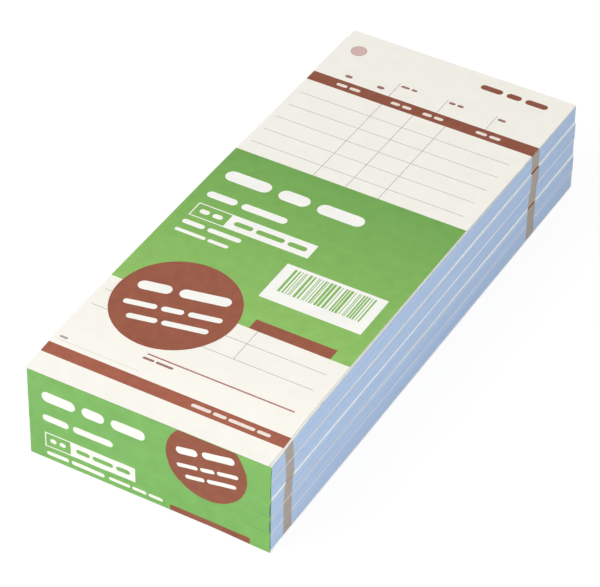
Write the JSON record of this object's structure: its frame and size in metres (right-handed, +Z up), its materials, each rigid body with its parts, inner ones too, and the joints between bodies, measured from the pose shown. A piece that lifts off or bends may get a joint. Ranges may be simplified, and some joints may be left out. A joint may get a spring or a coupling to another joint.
{
  "type": "carbonless guest check pad pack",
  "caption": "Stack of slim head-glued guest check pads, white and blue carbonless leaves, with a green label slip on top, a green end label and a loose writing underlay.",
  "frame": {"origin": "on the surface the stack stands on, under the middle of its footprint", "axes": "+X across the pads towards the long side that shows blue leaf edges in the picture, +Y along the pads towards the glued head, +Z up"},
  "size_m": [0.076, 0.1779, 0.0321],
  "materials": {
    "original_paper": "smooth uncoated white carbonless paper with a printed form",
    "copy_paper": "smooth uncoated light blue carbonless paper",
    "leaf_edges": "trimmed edges of white and blue leaves",
    "backing_board": "matt off-white board",
    "padding_glue": "dried milky padding glue",
    "underlay_card": "smooth cream card",
    "green_label": "offset-printed label paper, slight sheen"
  },
  "bodies": {
    "pad_5": {"pad_5_backing_board": "backing_board", "pad_5_leaf_block": "leaf_edges", "pad_5_head_glue": "padding_glue", "end_label_flap": "green_label"},
    "pad_4": {"pad_4_backing_board": "backing_board", "pad_4_leaf_block": "leaf_edges", "pad_4_head_glue": "padding_glue"},
    "pad_3": {"pad_3_backing_board": "backing_board", "pad_3_leaf_block": "leaf_edges", "pad_3_head_glue": "padding_glue"},
    "pad_2": {"pad_2_backing_board": "backing_board", "pad_2_leaf_block": "leaf_edges", "pad_2_head_glue": "padding_glue"},
    "pad_1": {"pad_1_backing_board": "backing_board", "pad_1_leaf_block": "leaf_edges", "pad_1_head_glue": "padding_glue"},
    "second_copy": {"second_copy_leaf": "copy_paper"},
    "second_original": {"second_original_leaf": "original_paper"},
    "underlay": {"writing_underlay": "underlay_card"},
    "first_copy": {"first_copy_leaf": "copy_paper"},
    "first_original": {"first_original_leaf": "original_paper"},
    "label_slip": {"top_label": "green_label"},
    "end_label": {"end_label_panel": "green_label"}
  },
  "joints": [
    {"name": "pad_4_lift", "type": "slide", "parent": "pad_5", "child": "pad_4", "axis": [0, 0, 1], "range_m": [0, 0.04]},
    {"name": "pad_3_lift", "type": "slide", "parent": "pad_4", "child": "pad_3", "axis": [0, 0, 1], "range_m": [0, 0.04]},
    {"name": "pad_2_lift", "type": "slide", "parent": "pad_3", "child": "pad_2", "axis": [0, 0, 1], "range_m": [0, 0.04]},
    {"name": "pad_1_lift", "type": "slide", "parent": "pad_2", "child": "pad_1", "axis": [0, 0, 1], "range_m": [0, 0.04]},
    {"name": "second_copy_turn", "type": "hinge", "parent": "pad_1", "child": "second_copy", "pos_m": [0, 0.0885, 0.03067], "axis": [-1, 0, 0], "range_deg": [0, 180]},
    {"name": "second_original_turn", "type": "hinge", "parent": "second_copy", "child": "second_original", "pos_m": [0, 0.0885, 0.03067], "axis": [-1, 0, 0], "range_deg": [0, 180]},
    {"name": "underlay_slide", "type": "slide", "parent": "second_original", "child": "underlay", "axis": [1, 0, 0], "range_m": [0, 0.08]},
    {"name": "first_copy_turn", "type": "hinge", "parent": "second_original", "child": "first_copy", "pos_m": [0, 0.0885, 0.03067], "axis": [-1, 0, 0], "range_deg": [0, 180]},
    {"name": "first_original_turn", "type": "hinge", "parent": "first_copy", "child": "first_original", "pos_m": [0, 0.0885, 0.03067], "axis": [-1, 0, 0], "range_deg": [0, 180]},
    {"name": "top_label_lift", "type": "slide", "parent": "first_original", "child": "label_slip", "axis": [0, 0, 1], "range_m": [0, 0.03]},
    {"name": "end_label_fold", "type": "hinge", "parent": "pad_5", "child": "end_label", "pos_m": [0, -0.08887, 0], "axis": [1, 0, 0], "range_deg": [0, 90]}
  ]
}
